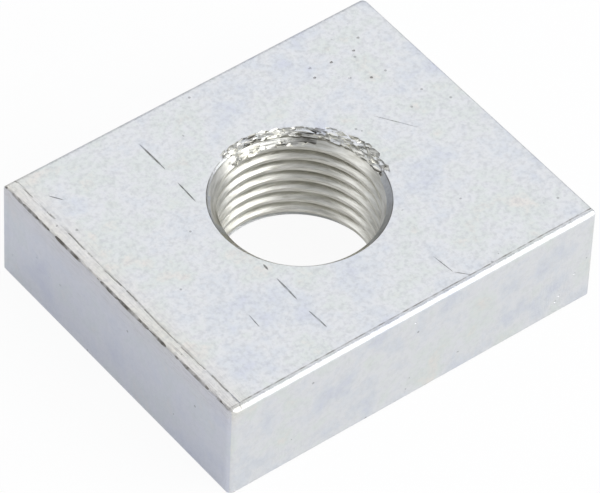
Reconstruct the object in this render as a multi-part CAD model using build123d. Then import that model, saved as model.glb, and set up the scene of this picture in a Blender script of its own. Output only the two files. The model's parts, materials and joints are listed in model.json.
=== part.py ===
from build123d import *

import os
from math import radians, tan

# T slot nut: a plate cropped from drawn flat steel bar, with one tapped hole through it.
# The bar runs along Y and its drawn sides face -X and +X. The shear cuts the ends, facing -Y and +Y.
# Millimetres and degrees. The origin is the middle of the bottom face, and +Z is up.

# The drawn bar
BAR_WIDTH = 30.0
BAR_THICKNESS = 8.0
DRAWN_EDGE_RADIUS = 0.2

# The cropped length
CUT_LENGTH = 24.8
ROLL_RADIUS = 0.4  # the blade drags the upper edge of each end over
BREAK_RADIUS = 0.2  # lower edge of each end, tumbled free of its burr
CORNER_RADIUS = 0.5  # upright corners, worn round in the plating barrel

# The tapped hole: its wall is drawn at the thread's minor diameter
THREAD_DIAMETER = 12.0
THREAD_PITCH = 1.0
MINOR_PER_PITCH = 1.0825  # an ISO metric nut thread is this many pitches smaller at its crests
COUNTERSINK_DIAMETER = 12.3
COUNTERSINK_ANGLE = 90.0

CUT_MARGIN = 1.0  # how far a cutter runs past the face it starts from


def drawn_bar():
    """A length of the bar, longer than the cut, rounded on its four drawn edges."""
    section = RectangleRounded(BAR_WIDTH, BAR_THICKNESS, DRAWN_EDGE_RADIUS)
    placed = Plane.XZ * Pos(0, BAR_THICKNESS / 2) * section
    return extrude(placed, amount=CUT_LENGTH / 2 + CUT_MARGIN, both=True)


def between_cuts():
    """What the two cuts leave, seen along the blades: rolled over above, only broken below."""
    profile = Rectangle(CUT_LENGTH, BAR_THICKNESS)
    profile = fillet(profile.vertices().group_by(Axis.Y)[-1], ROLL_RADIUS)
    profile = fillet(profile.vertices().group_by(Axis.Y)[0], BREAK_RADIUS)
    placed = Plane.YZ * Pos(0, BAR_THICKNESS / 2) * profile
    return extrude(placed, amount=BAR_WIDTH / 2 + CUT_MARGIN, both=True)


def worn_outline():
    """The plate seen from above, with its upright corners worn round."""
    outline = RectangleRounded(BAR_WIDTH, CUT_LENGTH, CORNER_RADIUS)
    return extrude(outline, amount=BAR_THICKNESS)


def thread_minor_radius():
    return (THREAD_DIAMETER - MINOR_PER_PITCH * THREAD_PITCH) / 2


def countersink_depth():
    """Depth at which the countersink's cone meets the wall of the hole."""
    half_angle = radians(COUNTERSINK_ANGLE / 2)
    return (COUNTERSINK_DIAMETER / 2 - thread_minor_radius()) / tan(half_angle)


def hole_cutter():
    """Half section of the hole and its two countersinks, revolved about the hole's axis."""
    wall = thread_minor_radius()
    mouth = COUNTERSINK_DIAMETER / 2
    depth = countersink_depth()
    section = Polyline(
        (0, -CUT_MARGIN),
        (mouth, -CUT_MARGIN),
        (mouth, 0),
        (wall, depth),
        (wall, BAR_THICKNESS - depth),
        (mouth, BAR_THICKNESS),
        (mouth, BAR_THICKNESS + CUT_MARGIN),
        (0, BAR_THICKNESS + CUT_MARGIN),
        close=True,
    )
    return revolve(Plane.XZ * make_face(section), axis=Axis.Z)


def slot_nut():
    plate = drawn_bar() & between_cuts() & worn_outline()
    return plate - hole_cutter()


os.makedirs("parts", exist_ok=True)
export_step(slot_nut(), "parts/slot_nut.step")
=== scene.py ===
import json
import random
from math import atan2, cos, pi, radians, sin, tan

import bmesh
import bpy
from mathutils import Matrix, Quaternion, Vector, noise


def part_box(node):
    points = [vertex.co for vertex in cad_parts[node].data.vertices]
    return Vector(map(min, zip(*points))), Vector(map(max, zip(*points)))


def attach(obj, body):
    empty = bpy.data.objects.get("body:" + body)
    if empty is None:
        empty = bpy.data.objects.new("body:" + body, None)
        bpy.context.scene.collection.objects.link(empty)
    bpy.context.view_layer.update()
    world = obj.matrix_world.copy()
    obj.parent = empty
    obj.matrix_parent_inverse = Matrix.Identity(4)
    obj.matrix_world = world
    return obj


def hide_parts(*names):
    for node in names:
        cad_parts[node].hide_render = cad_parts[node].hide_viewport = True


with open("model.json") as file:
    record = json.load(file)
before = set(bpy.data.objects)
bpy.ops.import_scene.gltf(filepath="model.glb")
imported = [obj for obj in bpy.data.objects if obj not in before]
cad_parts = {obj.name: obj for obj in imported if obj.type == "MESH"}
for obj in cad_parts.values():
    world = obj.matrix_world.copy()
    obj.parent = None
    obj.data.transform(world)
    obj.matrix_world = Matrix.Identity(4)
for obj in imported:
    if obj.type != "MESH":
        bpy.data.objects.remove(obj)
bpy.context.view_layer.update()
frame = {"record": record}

# ---------------------------------------------------------------------------------------
# The blank. Mild steel flat bar, cold drawn, then cropped to length by a shear. The drawn
# long edges are crisp, the shear rolls the upper edge of each end, and the plating barrel
# wears the corners round.
# ---------------------------------------------------------------------------------------
MM = 0.001
DRAWN_EDGE = 0.2 * MM
ROLLED_EDGE = 0.4 * MM
BROKEN_EDGE = 0.2 * MM
UPRIGHT_EDGE = 0.5 * MM
LESS_WORN = 0.4  # the share of that radius left on two opposite corners
STATION_STEP = 0.25 * MM  # spacing of the rings of vertices along the bar
FACE_STEP = 1.5 * MM

nut_low, nut_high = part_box("slot_nut")
nut_size = nut_high - nut_low
nut_middle = (nut_low + nut_high) / 2
top_z = nut_high.z


def crossing(edge, axis):
    """Whether an edge of the squared blank runs along an axis."""
    return abs(edge.verts[0].co[axis] - edge.verts[1].co[axis]) > nut_size[axis] / 2


def slices(shape, axis, positions):
    """Cuts rings of vertices into a shape, square to an axis."""
    for position in positions:
        point = Vector((0, 0, 0))
        point[axis] = position
        normal = Vector((0, 0, 0))
        normal[axis] = 1
        everything = shape.verts[:] + shape.edges[:] + shape.faces[:]
        bmesh.ops.bisect_plane(shape, geom=everything, plane_co=point, plane_no=normal, dist=1e-7)


def object_from(shape, name):
    """Closes a bmesh into a new object of that name."""
    mesh = bpy.data.meshes.new(name)
    shape.to_mesh(mesh)
    shape.free()
    thing = bpy.data.objects.new(name, mesh)
    bpy.context.scene.collection.objects.link(thing)
    return thing


def apply_modifiers(thing):
    """Turns an object's modifiers into mesh."""
    graph = bpy.context.evaluated_depsgraph_get()
    made = bpy.data.meshes.new_from_object(thing.evaluated_get(graph))
    thing.modifiers.clear()
    thing.data = made


blank = bmesh.new()
bmesh.ops.create_cube(blank, size=1)
bmesh.ops.scale(blank, vec=nut_size, verts=blank.verts)
bmesh.ops.translate(blank, vec=nut_middle, verts=blank.verts)
edge_weight = blank.edges.layers.float.new("bevel_weight_edge")
for edge in blank.edges:
    upper = edge.verts[0].co.z + edge.verts[1].co.z > 2 * nut_middle.z
    if crossing(edge, 2):
        corner = edge.verts[0].co
        edge[edge_weight] = 1 if corner.x * corner.y > 0 else LESS_WORN
    elif crossing(edge, 1):
        edge[edge_weight] = DRAWN_EDGE / UPRIGHT_EDGE
    else:
        edge[edge_weight] = (ROLLED_EDGE if upper else BROKEN_EDGE) / UPRIGHT_EDGE
nut = object_from(blank, "slot_nut_plated")
rounding = nut.modifiers.new("rounding", "BEVEL")
rounding.limit_method = "WEIGHT"
rounding.width = UPRIGHT_EDGE
rounding.segments = 6
apply_modifiers(nut)

blank = bmesh.new()
blank.from_mesh(nut.data)
ring_count = int(nut_size.y / STATION_STEP)
slices(blank, 1, [nut_low.y + (i + 0.5) * nut_size.y / ring_count for i in range(ring_count)])
column_count = int(nut_size.x / FACE_STEP)
slices(blank, 0, [nut_low.x + (i + 0.5) * nut_size.x / column_count for i in range(column_count)])

# A die line runs beside one upper edge of the bar, and that edge itself is slightly ragged.
DIE_LINE_INSET = 0.9 * MM
DIE_LINE_HALF = 0.07 * MM
DIE_LINE_DEPTH = 0.05 * MM
RAGGED_REACH = 0.3 * MM
RAGGED_HEIGHT = 0.05 * MM
die_line = nut_low.x + DIE_LINE_INSET
slices(blank, 0, [die_line + share * DIE_LINE_HALF for share in (-2, -1, 0, 1, 2)])


def wander(along, wavelength, seed):
    """Smooth noise from -1 to 1 along the bar."""
    return noise.noise(Vector((along / wavelength, seed, 0.5)))


for vertex in blank.verts:
    along = vertex.co.y
    if abs(vertex.co.x - die_line) < 0.001 * MM and vertex.co.z > top_z - 0.001 * MM:
        vertex.co.z -= DIE_LINE_DEPTH * (0.6 + 0.8 * wander(along, 1.1 * MM, 3))
        vertex.co.x += DIE_LINE_HALF * wander(along, 2 * MM, 7)
    edge_reach = Vector((vertex.co.x - nut_low.x, 0, top_z - vertex.co.z)).length
    if edge_reach < RAGGED_REACH and abs(along) < nut_size.y / 2 - ROLLED_EDGE:
        sway = wander(along, 0.9 * MM, 11) + 0.5 * wander(along, 0.35 * MM, 13)
        vertex.co += Vector((1, 0, -1)) * RAGGED_HEIGHT * max(sway, -0.2)
blank.to_mesh(nut.data)
blank.free()

# ---------------------------------------------------------------------------------------
# The tapped hole. Drilled to the thread's minor diameter, countersunk on both faces, then
# cut with a right-hand fine thread, as a single tooth run along a helix.
# ---------------------------------------------------------------------------------------
hole = next(mount for mount in frame["record"]["mounts"] if mount["kind"] == "threaded_hole")
MINOR_RADIUS = hole["dims"]["r_mm"] * MM
PITCH = 1.0 * MM
MAJOR_RADIUS = 6.0 * MM
SINK_DEPTH = (nut_size.z - hole["dims"]["length_mm"] * MM) / 2
MOUTH_RADIUS = MINOR_RADIUS + SINK_DEPTH  # the countersinks are 90 degrees across
HOLE_STEPS = 120  # facets round the hole
hole_x, hole_y = hole["pos_m"][0], hole["pos_m"][1]


def cut(thing, cutter):
    """Takes a cutter's shape out of an object, and then deletes the cutter."""
    boolean = thing.modifiers.new("cut", "BOOLEAN")
    boolean.operation = "DIFFERENCE"
    boolean.solver = "EXACT"
    boolean.object = cutter
    boolean.use_self = True
    apply_modifiers(thing)
    bpy.data.objects.remove(cutter)


def revolved(outline, name):
    """A cutter turned about the hole's axis from its half section, as (radius, height) points."""
    shape = bmesh.new()
    corners = [shape.verts.new((hole_x + r, hole_y, z)) for r, z in outline]
    for a, b in zip(corners, corners[1:]):
        shape.edges.new((a, b))
    geometry = shape.verts[:] + shape.edges[:]
    centre = (hole_x, hole_y, 0)
    bmesh.ops.spin(
        shape, geom=geometry, cent=centre, axis=(0, 0, 1), angle=2 * pi, steps=HOLE_STEPS, use_merge=True
    )
    bmesh.ops.remove_doubles(shape, verts=shape.verts, dist=1e-7)
    bmesh.ops.recalc_face_normals(shape, faces=shape.faces)
    return object_from(shape, name)


drill = revolved(
    [
        (0, -SINK_DEPTH),
        (MOUTH_RADIUS + SINK_DEPTH, -SINK_DEPTH),
        (MINOR_RADIUS, SINK_DEPTH),
        (MINOR_RADIUS, top_z - SINK_DEPTH),
        (MOUTH_RADIUS + SINK_DEPTH, top_z + SINK_DEPTH),
        (0, top_z + SINK_DEPTH),
    ],
    "countersinking_drill",
)
cut(nut, drill)

TOOTH_INNER = MINOR_RADIUS - 0.1 * MM
FLANK = tan(radians(30))
tip_half = PITCH / 16
root_half = tip_half + (MAJOR_RADIUS - TOOTH_INNER) * FLANK
START_ANGLE = radians(200)
turns = int(nut_size.z / PITCH) + 3
tap = bmesh.new()
tooth_points = [
    (TOOTH_INNER, -root_half),
    (MAJOR_RADIUS, -tip_half),
    (MAJOR_RADIUS, tip_half),
    (TOOTH_INNER, root_half),
]
tap.faces.new([tap.verts.new((hole_x + r, hole_y, z - PITCH)) for r, z in tooth_points])
bmesh.ops.rotate(
    tap, cent=(hole_x, hole_y, 0), matrix=Matrix.Rotation(START_ANGLE, 3, "Z"), verts=tap.verts
)
bmesh.ops.spin(
    tap,
    geom=tap.verts[:] + tap.edges[:] + tap.faces[:],
    cent=(hole_x, hole_y, 0),
    axis=(0, 0, 1),
    dvec=(0, 0, PITCH / HOLE_STEPS),
    angle=2 * pi * turns,
    steps=HOLE_STEPS * turns,
    use_duplicate=False,
)
bmesh.ops.recalc_face_normals(tap, faces=tap.faces)
cut(nut, object_from(tap, "tap"))

# The thread broke out through the rim on its far side, and left it chipped and torn.
TORN_FROM, TORN_TO = radians(-12), radians(105)  # about the hole's axis, from +X towards +Y
CHIPS = 290
chance = random.Random(12)
chips = bmesh.new()
for i in range(CHIPS):
    share = chance.random()
    angle = TORN_FROM + (TORN_TO - TORN_FROM) * share
    ragged = 1 if 0.12 < share < 0.42 else 0.45  # one stretch is torn widest
    beyond = chance.choice((chance.uniform(-0.75, 0), chance.uniform(-0.1, 0.6) * ragged)) * MM
    reach = MOUTH_RADIUS + beyond
    size = chance.uniform(0.1, 0.27) * MM
    spot = Vector((hole_x + reach * cos(angle), hole_y + reach * sin(angle), top_z))
    spot.z += min(beyond, 0) + chance.uniform(-0.1, 0.4) * size  # down the countersink's cone
    turn = Quaternion([chance.uniform(-1, 1) for _ in range(4)]).normalized().to_matrix().to_4x4()
    stretch = Matrix.Diagonal((size * 2.1, size * 0.9, size * 0.7, 1))
    swing = Matrix.Rotation(angle + pi / 2, 4, "Z")
    bmesh.ops.create_cube(chips, size=1.4, matrix=Matrix.Translation(spot) @ swing @ stretch @ turn)
cut(nut, object_from(chips, "chips"))

# ---------------------------------------------------------------------------------------
# Scratches and pits. A long broken scratch follows the drawing direction past the hole, and
# the tumbling barrel leaves small pits and nicks in the upper face and the two near faces.
# ---------------------------------------------------------------------------------------
SCRATCHES = [  # where it starts and ends on the upper face, and its width, in millimetres
    ((-5.57, 10.2), (-5.57, 7.1), 0.16),
    ((-5.63, 5.9), (-5.72, 3.6), 0.13),
    ((-5.55, -3.3), (-5.6, -3.9), 0.16),
    ((-5.6, -4.7), (-5.68, -7.2), 0.15),
    ((-5.68, -8.2), (-5.6, -10.2), 0.13),
    ((3.8, -9.1), (4.0, -11.2), 0.08),
    ((4.0, -11.1), (4.8, -12.0), 0.07),
    ((8.5, 3.2), (10.4, 0.4), 0.06),
    ((-13.2, 9.8), (-12.6, 8.9), 0.12),
    ((-9.0, -6.2), (-9.1, -7.6), 0.08),
]
UPPER_PITS = [(12.3, 9.5), (11.3, 8.7), (9.4, 8.7), (7.9, 9.1), (7.6, 8.2), (9.5, 6.8), (10.7, 6.0)]
LEFT_PITS = [(11.3, 2.2), (8.6, 4.3), (7.1, 3.8), (6.0, 3.9), (9.2, 0.7)]  # along the bar, and height
FRONT_PITS = [(-0.1, 6.9), (12.0, 1.2), (12.3, 1.6), (13.5, 3.0)]  # across the bar, and height
PIT_RADIUS = 0.11 * MM
nicks = bmesh.new()


def nick(shape, spot, sizes, turn):
    """An ellipsoid whose cut leaves a shallow dent with tapered ends."""
    matrix = Matrix.Translation(spot) @ Matrix.Rotation(turn, 4, "Z") @ Matrix.Diagonal((*sizes, 1))
    bmesh.ops.create_icosphere(shape, subdivisions=2, radius=1, matrix=matrix)


for start, end, width in SCRATCHES:
    a, b = Vector((*start, 0)) * MM, Vector((*end, 0)) * MM
    spot = (a + b) / 2 + Vector((0, 0, top_z + width * MM * 0.12))
    run = (b - a).to_2d()
    half_width = width * MM / 2
    nick(nicks, spot, (run.length / 2, half_width, half_width), atan2(run.y, run.x))
pit = Vector((PIT_RADIUS, PIT_RADIUS, PIT_RADIUS))
for across, along in UPPER_PITS:
    nick(nicks, Vector((across * MM, along * MM, top_z)), pit * Vector((1, 1, 1 / 3)), 0)
for along, height in LEFT_PITS:
    nick(nicks, Vector((nut_low.x, along * MM, height * MM)), pit * Vector((1 / 3, 1, 1)), 0)
for across, height in FRONT_PITS:
    nick(nicks, Vector((across * MM, nut_low.y, height * MM)), pit * Vector((1, 1 / 3, 1)), 0)
cut(nut, object_from(nicks, "nicks"))

# ---------------------------------------------------------------------------------------
# Shading of the faces: flat faces stay flat and only rounded edges shade smoothly.
# ---------------------------------------------------------------------------------------
SHARP_ANGLE = radians(32)
nut.data.polygons.foreach_set("use_smooth", [True] * len(nut.data.polygons))
nut.data.set_sharp_from_angle(angle=SHARP_ANGLE)
weighted = nut.modifiers.new("weighted normals", "WEIGHTED_NORMAL")
weighted.keep_sharp = True
apply_modifiers(nut)

# ---------------------------------------------------------------------------------------
# The finish. Bright zinc with a clear blue passivate over the whole nut: a pale metal with
# faint blue, green and straw clouds, dull enough to blur what it reflects.
# ---------------------------------------------------------------------------------------


def linear(hex_colour):
    """An sRGB hex colour as linear red, green, blue and alpha."""
    shares = [int(hex_colour[i : i + 2], 16) / 255 for i in (1, 3, 5)]
    return [s / 12.92 if s <= 0.04045 else ((s + 0.055) / 1.055) ** 2.4 for s in shares] + [1]


def add(tree, kind, inputs=None, **settings):
    """Adds a node with its settings, and with values or links from other nodes as its inputs."""
    node = tree.nodes.new(kind)
    for name, value in settings.items():
        setattr(node, name, value)
    for name, value in (inputs or {}).items():
        if isinstance(value, bpy.types.Node):
            value = next(socket for socket in value.outputs if socket.enabled)
        if isinstance(value, bpy.types.NodeSocket):
            tree.links.new(value, node.inputs[name])
        else:
            node.inputs[name].default_value = value
    return node


STAIN_REACH = 2.2 * MM
# Reaches of the painted dark lines along the ragged edge and beside the die line
EDGE_DARK_REACH = 0.14 * MM
LINE_DARK_HALF = 0.055 * MM
zinc = bpy.data.materials.new("bright_zinc_blue_passivated")
zinc.use_nodes = True
tree = zinc.node_tree
tree.nodes.clear()
place = add(tree, "ShaderNodeTexCoord").outputs["Object"]
axes = add(tree, "ShaderNodeSeparateXYZ", {"Vector": place}).outputs
facing = add(tree, "ShaderNodeNewGeometry").outputs["Normal"]
normal = add(tree, "ShaderNodeSeparateXYZ", {"Vector": facing}).outputs

# The passivate's clouds of blue, green and straw, some millimetres across
clouds = {"Vector": place, "Scale": 1 / (3.2 * MM), "Detail": 5, "Roughness": 0.62}
clouds = add(tree, "ShaderNodeTexNoise", clouds)
tint = add(tree, "ShaderNodeValToRGB", {"Fac": clouds})
tints = [(0.3, "#cfd2dc"), (0.42, "#d8dbdf"), (0.5, "#dedfe1"), (0.6, "#dadedc"), (0.7, "#e2dfdb")]
for position, shade in tints[1:-1]:
    tint.color_ramp.elements.new(position)
for stop, (position, shade) in zip(tint.color_ramp.elements, tints):
    stop.position = position
    stop.color = linear(shade)

# A straw stain beside the ragged edge, where the barrel's current ran strongest
inset = add(tree, "ShaderNodeMath", {0: axes["X"], 1: nut_low.x}, operation="SUBTRACT")
below_top = add(tree, "ShaderNodeMath", {0: top_z, 1: axes["Z"]}, operation="SUBTRACT")
from_edge = add(tree, "ShaderNodeMath", {0: inset, 1: below_top}, operation="ADD")
fading = {0: from_edge, 1: -1 / STAIN_REACH, 2: 1.0}
stain = add(tree, "ShaderNodeMath", fading, operation="MULTIPLY_ADD", use_clamp=True)
share = add(tree, "ShaderNodeMath", {0: stain, 1: 0.6}, operation="MULTIPLY")
colour = add(tree, "ShaderNodeMix", {0: share, 6: tint, 7: linear("#e6e0d6")}, data_type="RGBA")

# Etched grain, which shows as a fine mottle, and less on the upright faces
grain = {"Vector": place, "Scale": 1 / (0.35 * MM), "Detail": 4, "Roughness": 0.65}
grain = add(tree, "ShaderNodeTexNoise", grain)
mottle = add(tree, "ShaderNodeMapRange", {0: grain, 1: 0.34, 2: 0.56, 3: 0.28, 4: 0})
upright = add(tree, "ShaderNodeMath", {0: normal["Z"], 1: 0, 2: 0.5}, operation="COMPARE")
share = add(tree, "ShaderNodeMath", {0: upright, 1: -0.55, 2: 1.0}, operation="MULTIPLY_ADD")
share = add(tree, "ShaderNodeMath", {0: mottle, 1: share}, operation="MULTIPLY")
colour = add(tree, "ShaderNodeMix", {0: share, 6: colour, 7: linear("#a3a5aa")}, data_type="RGBA")

# The faces turned to -X are painted darker and bluer: painted shade for the side away from the main
# softbox
left_side_shade = add(tree, "ShaderNodeMath", {0: normal["X"], 1: -0.8}, operation="LESS_THAN")
share = add(tree, "ShaderNodeMath", {0: left_side_shade, 1: 0.4}, operation="MULTIPLY")
colour = add(tree, "ShaderNodeMix", {0: share, 6: colour, 7: linear("#bcc1d6")}, data_type="RGBA")

# Dirt specks in a few of the pores
pores = add(tree, "ShaderNodeTexVoronoi", {"Vector": place, "Scale": 1 / (1.3 * MM), "Randomness": 1})
speck = add(tree, "ShaderNodeMath", {0: pores, 1: 0.075}, operation="LESS_THAN")
few = add(tree, "ShaderNodeTexNoise", {"Vector": place, "Scale": 1 / (3.5 * MM), "Detail": 1})
few = add(tree, "ShaderNodeMath", {0: few, 1: 0.52}, operation="GREATER_THAN")
speck = add(tree, "ShaderNodeMath", {0: speck, 1: few}, operation="MULTIPLY")
share = add(tree, "ShaderNodeMath", {0: speck, 1: 0.5}, operation="MULTIPLY")
colour = add(tree, "ShaderNodeMix", {0: share, 6: colour, 7: linear("#77777a")}, data_type="RGBA")

# Fainter draw marks beside the die line
along_bar = (1 / (0.2 * MM), 1 / (9 * MM), 1 / (0.2 * MM))
drawn = add(tree, "ShaderNodeMapping", {"Vector": place, "Scale": along_bar})
drawn = add(tree, "ShaderNodeTexNoise", {"Vector": drawn, "Detail": 2})
marks = add(tree, "ShaderNodeMapRange", {0: drawn, 1: 0.52, 2: 0.66, 3: 0, 4: 0.5})
share = add(tree, "ShaderNodeMath", {0: marks, 1: stain}, operation="MULTIPLY")
colour = add(tree, "ShaderNodeMix", {0: share, 6: colour, 7: linear("#8d8984")}, data_type="RGBA")

# The ragged edge and the die line are painted dark, in broken stretches
broken = add(tree, "ShaderNodeTexNoise", {"Vector": place, "Scale": 1 / (0.8 * MM), "Detail": 3})
edge_dark = add(tree, "ShaderNodeMath", {0: from_edge, 1: EDGE_DARK_REACH}, operation="LESS_THAN")
sway = add(tree, "ShaderNodeMath", {0: clouds, 1: 0.5}, operation="SUBTRACT")
swayed = add(tree, "ShaderNodeMath", {0: sway, 1: 0.5 * MM, 2: inset}, operation="MULTIPLY_ADD")
near_line = {0: swayed, 1: DIE_LINE_INSET, 2: LINE_DARK_HALF}
line_dark = add(tree, "ShaderNodeMath", near_line, operation="COMPARE")
stretches = add(tree, "ShaderNodeMath", {0: broken, 1: 0.48}, operation="GREATER_THAN")
line_dark = add(tree, "ShaderNodeMath", {0: line_dark, 1: stretches}, operation="MULTIPLY")
on_top = add(tree, "ShaderNodeMath", {0: below_top, 1: 0.2 * MM}, operation="LESS_THAN")
line_dark = add(tree, "ShaderNodeMath", {0: line_dark, 1: on_top}, operation="MULTIPLY")
line_dark = add(tree, "ShaderNodeMath", {0: line_dark, 1: 0.65}, operation="MULTIPLY")
painted_dark_marks = add(tree, "ShaderNodeMath", {0: edge_dark, 1: line_dark}, operation="MAXIMUM")

# Painted shade darkens the scratches and the countersink's sharp rim, just below the upper face, and the
# start of the rolled end is painted dark
clear_y = nut_size.y / 2 - ROLLED_EDGE - 0.1 * MM
clear_x = nut_size.x / 2 - DIE_LINE_INSET - 0.4 * MM
sunk = add(tree, "ShaderNodeMath", {0: below_top, 1: 0.038 * MM, 2: 0.032 * MM}, operation="COMPARE")
for axis, reach in (("Y", clear_y), ("X", clear_x)):
    clear = add(tree, "ShaderNodeMath", {0: axes[axis], 1: 0, 2: reach}, operation="COMPARE")
    sunk = add(tree, "ShaderNodeMath", {0: sunk, 1: clear}, operation="MULTIPLY")
roll_start = {0: axes["Y"], 1: nut_low.y + ROLLED_EDGE + 0.05 * MM, 2: 0.05 * MM}
roll_dark = add(tree, "ShaderNodeMath", roll_start, operation="COMPARE")
flat = add(tree, "ShaderNodeMath", {0: below_top, 1: 0.02 * MM}, operation="LESS_THAN")
roll_dark = add(tree, "ShaderNodeMath", {0: roll_dark, 1: flat}, operation="MULTIPLY")
fainter = add(tree, "ShaderNodeMath", {0: sunk, 1: roll_dark}, operation="MAXIMUM")
fainter = add(tree, "ShaderNodeMath", {0: fainter, 1: 0.75}, operation="MULTIPLY")
painted_dark_marks = add(tree, "ShaderNodeMath", {0: painted_dark_marks, 1: fainter}, operation="MAXIMUM")
patches = add(tree, "ShaderNodeMapRange", {0: broken, 1: 0.4, 2: 0.58, 3: 0.3, 4: 0.95})
painted_dark_marks = add(tree, "ShaderNodeMath", {0: painted_dark_marks, 1: patches}, operation="MULTIPLY")
# The painted dark lines and the painted shade go into the colour here
colour = add(tree, "ShaderNodeMix", {0: painted_dark_marks, 6: colour, 7: linear("#6c6862")}, data_type="RGBA")

# Fine lines along the bar on the drawn faces, and down the ends where the blade ran
down_end = (1 / (0.3 * MM), 1 / (1 * MM), 1 / (4 * MM))
sheared = add(tree, "ShaderNodeMapping", {"Vector": place, "Scale": down_end})
sheared = add(tree, "ShaderNodeTexNoise", {"Vector": sheared, "Detail": 2})
not_end = add(tree, "ShaderNodeMath", {0: normal["Y"], 1: 0, 2: 0.8}, operation="COMPARE")
lines = add(tree, "ShaderNodeMix", {0: not_end, 2: sheared, 3: drawn})
height = add(tree, "ShaderNodeMath", {0: lines, 1: 0.7, 2: grain}, operation="MULTIPLY_ADD")
relief = add(tree, "ShaderNodeBump", {"Height": height, "Strength": 1, "Distance": 0.022 * MM})
dull = add(tree, "ShaderNodeMapRange", {0: clouds, 3: 0.3, 4: 0.42})
plated = {"Base Color": colour, "Metallic": 1, "Roughness": dull, "Normal": relief}
plated = add(tree, "ShaderNodeBsdfPrincipled", plated)
add(tree, "ShaderNodeOutputMaterial", {"Surface": plated})

# Inside the hole the plating is thin over the cut steel: darker, warmer and streaked round.
thin_zinc = bpy.data.materials.new("thin_zinc_over_tapped_steel")
thin_zinc.use_nodes = True
tree = thin_zinc.node_tree
tree.nodes.clear()
place = add(tree, "ShaderNodeTexCoord").outputs["Object"]
centre = {0: place, 1: (hole_x, hole_y, 0)}
centred = add(tree, "ShaderNodeVectorMath", centre, operation="SUBTRACT")
axes = add(tree, "ShaderNodeSeparateXYZ", {"Vector": centred}).outputs
bearing = add(tree, "ShaderNodeMath", {0: axes["Y"], 1: axes["X"]}, operation="ARCTAN2")
arc = add(tree, "ShaderNodeMath", {0: bearing, 1: MINOR_RADIUS}, operation="MULTIPLY")
round_hole = add(tree, "ShaderNodeCombineXYZ", {"X": arc, "Z": axes["Z"]})
swept = (1 / (1.8 * MM), 1 / (1 * MM), 1 / (0.13 * MM))
swept = add(tree, "ShaderNodeMapping", {"Vector": round_hole, "Scale": swept})
streaks = {"Vector": swept, "Scale": 1, "Detail": 4, "Roughness": 0.6}
streaks = add(tree, "ShaderNodeTexNoise", streaks)
tint = add(tree, "ShaderNodeValToRGB", {"Fac": streaks})
for stop, position, shade in zip(tint.color_ramp.elements, (0.35, 0.62), ("#c3c1b7", "#f0efe8")):
    stop.position = position
    stop.color = linear(shade)
relief = add(tree, "ShaderNodeBump", {"Height": streaks, "Strength": 0.6, "Distance": 0.03 * MM})
tapped = {"Base Color": tint, "Metallic": 1, "Roughness": 0.28, "Normal": relief}
tapped = add(tree, "ShaderNodeBsdfPrincipled", tapped)
add(tree, "ShaderNodeOutputMaterial", {"Surface": tapped})

# Where the rim broke, the steel is bare, and its chipped faces get a darker streaked ramp: painted shade
# in the hollows.
torn_steel_and_shade = thin_zinc.copy()
# The material's name says that its darker ramp is painted shade
torn_steel_and_shade.name = "torn_bare_steel_with_painted_shade"
ramp = next(node for node in torn_steel_and_shade.node_tree.nodes if node.type == "VALTORGB")
ramp.color_ramp.elements[0].color = linear("#57544e")
ramp.color_ramp.elements[1].position = 0.56

nut.data.materials.clear()
nut.data.materials.append(zinc)
nut.data.materials.append(thin_zinc)
nut.data.materials.append(torn_steel_and_shade)
for face in nut.data.polygons:
    from_axis = (face.center - Vector((hole_x, hole_y, face.center.z))).length
    in_wall = SINK_DEPTH < face.center.z < top_z - 0.3 * MM
    in_thread = from_axis < MAJOR_RADIUS + 0.05 * MM and in_wall
    heading = atan2(face.center.y - hole_y, face.center.x - hole_x)
    in_tear = from_axis < MOUTH_RADIUS + 0.7 * MM and face.center.z > top_z - SINK_DEPTH
    torn = in_tear and abs(face.normal.z) < 0.97 and TORN_FROM < heading < TORN_TO
    face.material_index = 2 if torn else int(in_thread)
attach(nut, "root")
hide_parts("slot_nut")

# ---------------------------------------------------------------------------------------
# The floor. A sheet of matt white board, far larger than the nut, a hair below
# it, so that the two don't share one plane.
# ---------------------------------------------------------------------------------------
FLOOR_REACH = 3.0
FLOOR_GAP = 0.02 * MM
board = bmesh.new()
bmesh.ops.create_circle(board, cap_ends=True, segments=64, radius=FLOOR_REACH)
bmesh.ops.translate(board, verts=board.verts, vec=(0, 0, -FLOOR_GAP))
floor = object_from(board, "floor")

white_board = bpy.data.materials.new("matt_white_board")
white_board.use_nodes = True
tree = white_board.node_tree
tree.nodes.clear()
matt = add(tree, "ShaderNodeBsdfPrincipled", {"Base Color": linear("#f0f0f0"), "Roughness": 0.9})
glow = add(tree, "ShaderNodeEmission", {"Color": (1, 1, 1, 1), "Strength": 1.0})
path = add(tree, "ShaderNodeLightPath").outputs
to_camera = add(tree, "ShaderNodeMath", {0: path["Is Camera Ray"], 1: 0.93}, operation="MULTIPLY")
shares = {0: path["Is Glossy Ray"], 1: 0.36, 2: to_camera}
share = add(tree, "ShaderNodeMath", shares, operation="MULTIPLY_ADD")
lit = add(tree, "ShaderNodeMixShader", {0: share, 1: matt, 2: glow})
add(tree, "ShaderNodeOutputMaterial", {"Surface": lit})
floor.data.materials.append(white_board)

# ---------------------------------------------------------------------------------------
# The light. One large softbox to the right of the camera, one behind the nut and a weaker
# one to the left, in a dim studio.
# ---------------------------------------------------------------------------------------


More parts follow.
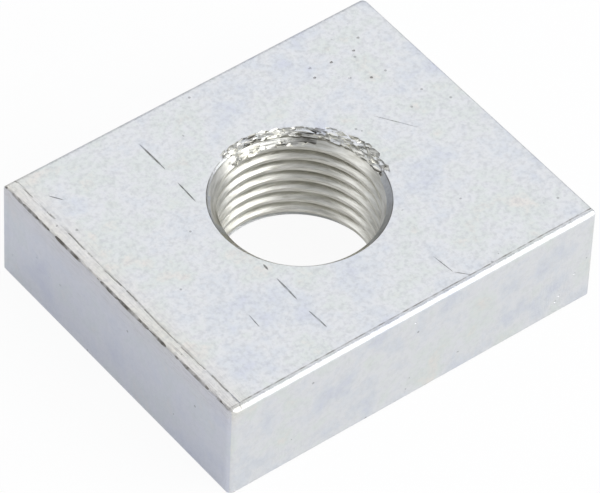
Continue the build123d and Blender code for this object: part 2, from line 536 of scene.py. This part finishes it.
def softbox(name, direction, distance, size, watts):
    """A square lamp that faces the nut from a direction."""
    lamp = bpy.data.lights.new(name, "AREA")
    lamp.shape = "SQUARE"
    lamp.size = size
    lamp.energy = watts
    thing = bpy.data.objects.new(name, lamp)
    towards = Vector(direction).normalized()
    thing.location = nut_middle + towards * distance
    thing.rotation_euler = towards.to_track_quat("Z", "Y").to_euler()
    bpy.context.scene.collection.objects.link(thing)


softbox("softbox_right", (0.36, -0.78, 0.50), 0.7, 0.9, 5.8)
softbox("softbox_back", (0.44, 0.53, 0.72), 0.8, 0.8, 1.45)
softbox("softbox_left", (-0.6, 0.3, 0.8), 0.8, 0.45, 0.5)

studio = bpy.data.worlds.new("studio")
bpy.context.scene.world = studio
studio.use_nodes = True
tree = studio.node_tree
tree.nodes.clear()
dim = add(tree, "ShaderNodeBackground", {"Color": linear("#b4b6ba"), "Strength": 1})
bright = add(tree, "ShaderNodeBackground", {"Color": (1, 1, 1, 1), "Strength": 1})
path = add(tree, "ShaderNodeLightPath").outputs
seen = add(tree, "ShaderNodeMixShader", {0: path["Is Camera Ray"], 1: dim, 2: bright})
add(tree, "ShaderNodeOutputWorld", {"Surface": seen})

# ---------------------------------------------------------------------------------------
# The camera, high over the near left corner with a long lens.
# ---------------------------------------------------------------------------------------
AZIMUTH = radians(39.7)
ELEVATION = radians(46.7)
ROLL = radians(2.7)
DISTANCE = 376.5 * MM
LENS = 348
AIM = Vector((-2.66 * MM, -3.47 * MM, top_z))

forward = Vector((sin(AZIMUTH) * cos(ELEVATION), cos(AZIMUTH) * cos(ELEVATION), -sin(ELEVATION)))
lens = bpy.data.cameras.new("camera")
lens.lens = LENS
lens.clip_start = 0.01
camera = bpy.data.objects.new("camera", lens)
camera.location = AIM - forward * DISTANCE
camera.rotation_euler = (forward.to_track_quat("-Z", "Y") @ Quaternion((0, 0, 1), ROLL)).to_euler()
bpy.context.scene.collection.objects.link(camera)
bpy.context.scene.camera = camera
bpy.context.scene.view_settings.view_transform = "Standard"
